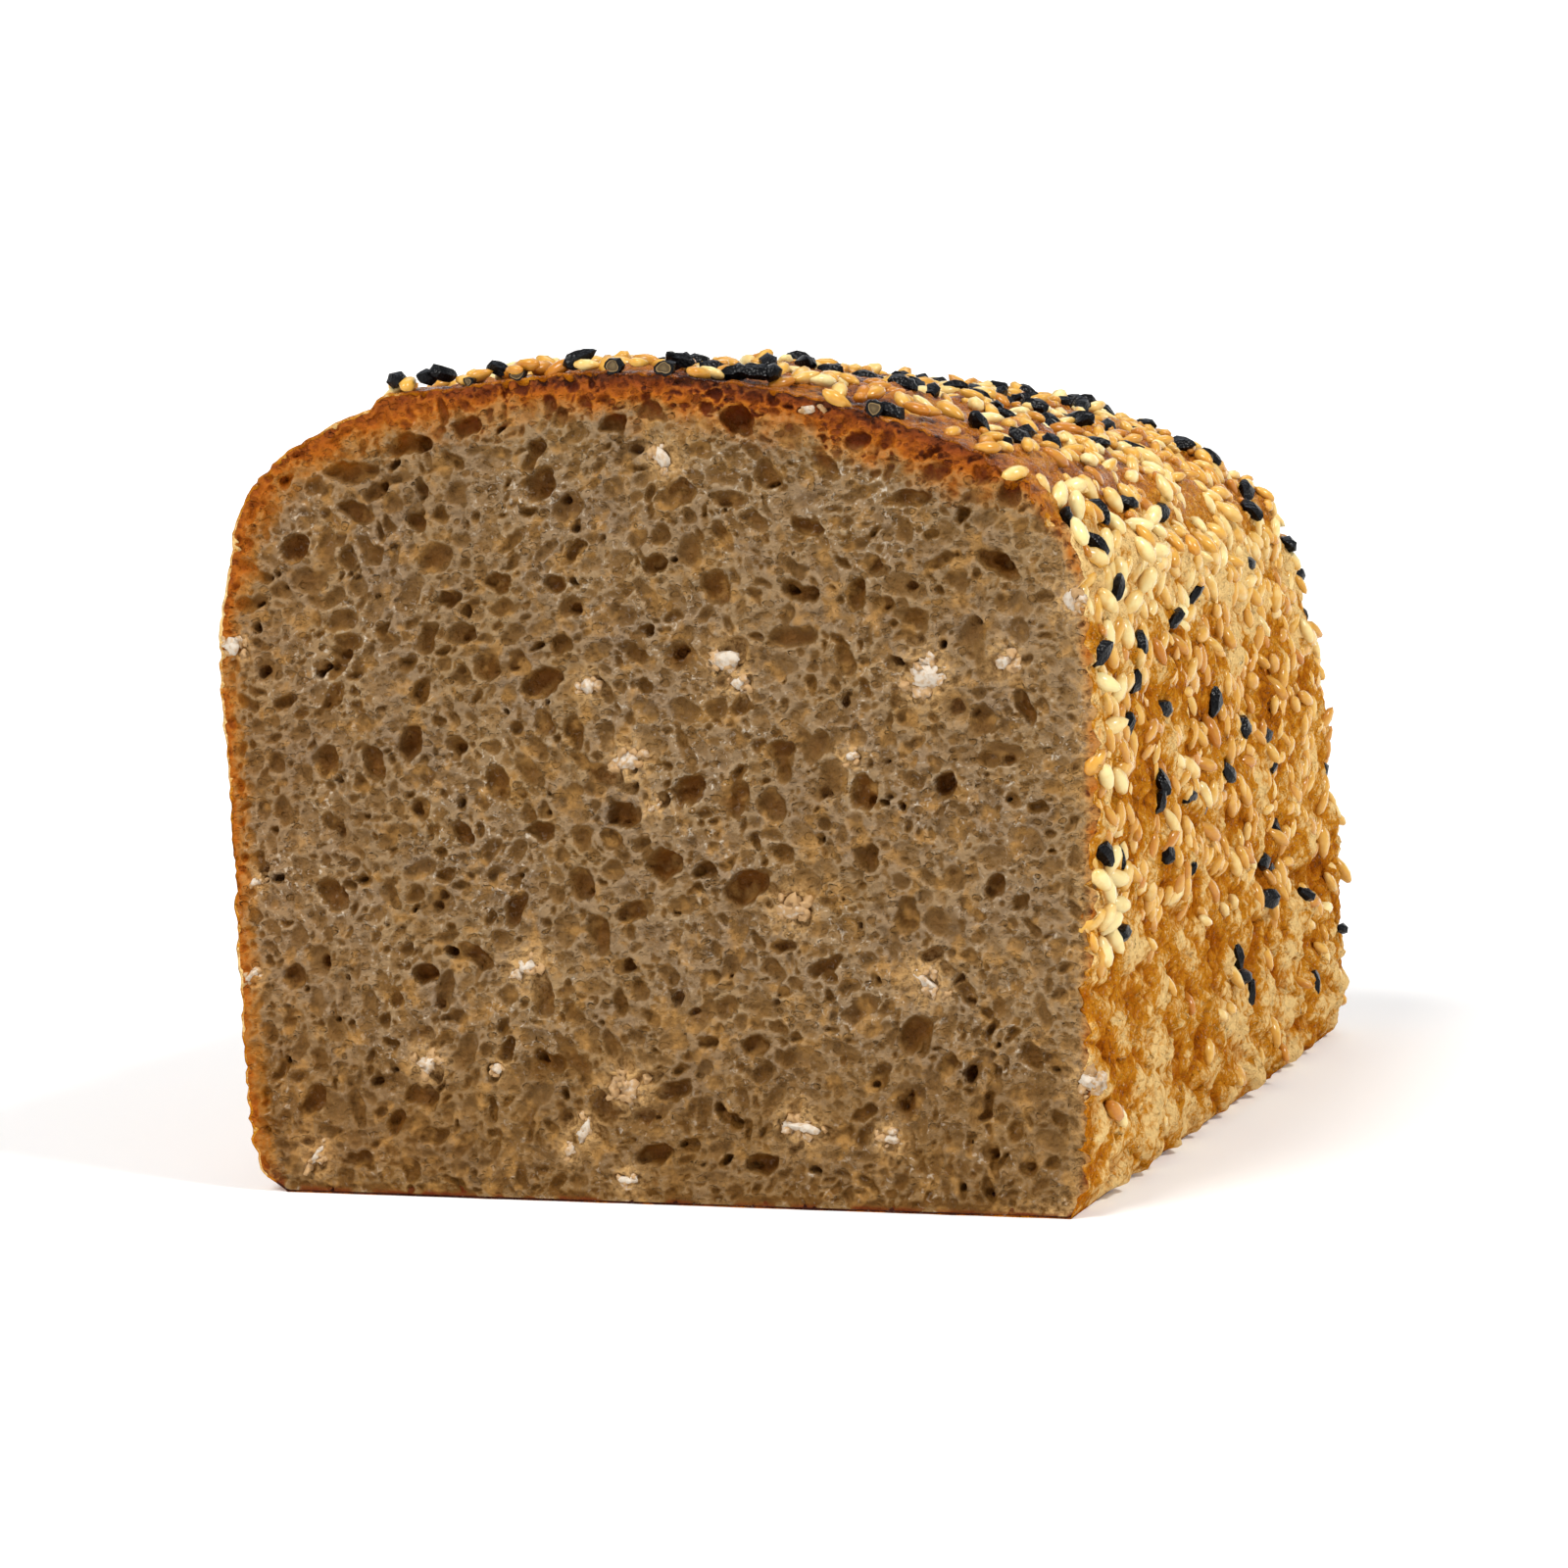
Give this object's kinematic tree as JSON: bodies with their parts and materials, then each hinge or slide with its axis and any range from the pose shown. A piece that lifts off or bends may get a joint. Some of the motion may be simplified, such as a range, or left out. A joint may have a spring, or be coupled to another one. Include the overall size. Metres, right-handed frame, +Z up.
{
  "type": "spelt bread loaf",
  "caption": "Cut spelt tin loaf: porous brown crumb on its flat cut face, golden to dark brown crust rolled in sesame and black cumin seeds, standing on its flat bottom.",
  "frame": {"origin": "middle of the loaf's flat bottom: the centre of the bounding box in X and Y, at its lowest height", "axes": "+Z up; +Y along the loaf from the cut face to the baked end; +X to the right seen from in front of the cut face"},
  "size_m": [0.1088, 0.1524, 0.0978],
  "materials": {
    "baked_crust": "satin",
    "crumb": "matte",
    "sesame": "satin",
    "black_cumin": "satin",
    "grain_flake": "matte"
  },
  "bodies": {
    "root": {"spelt_loaf": "baked_crust"}
  },
  "joints": []
}
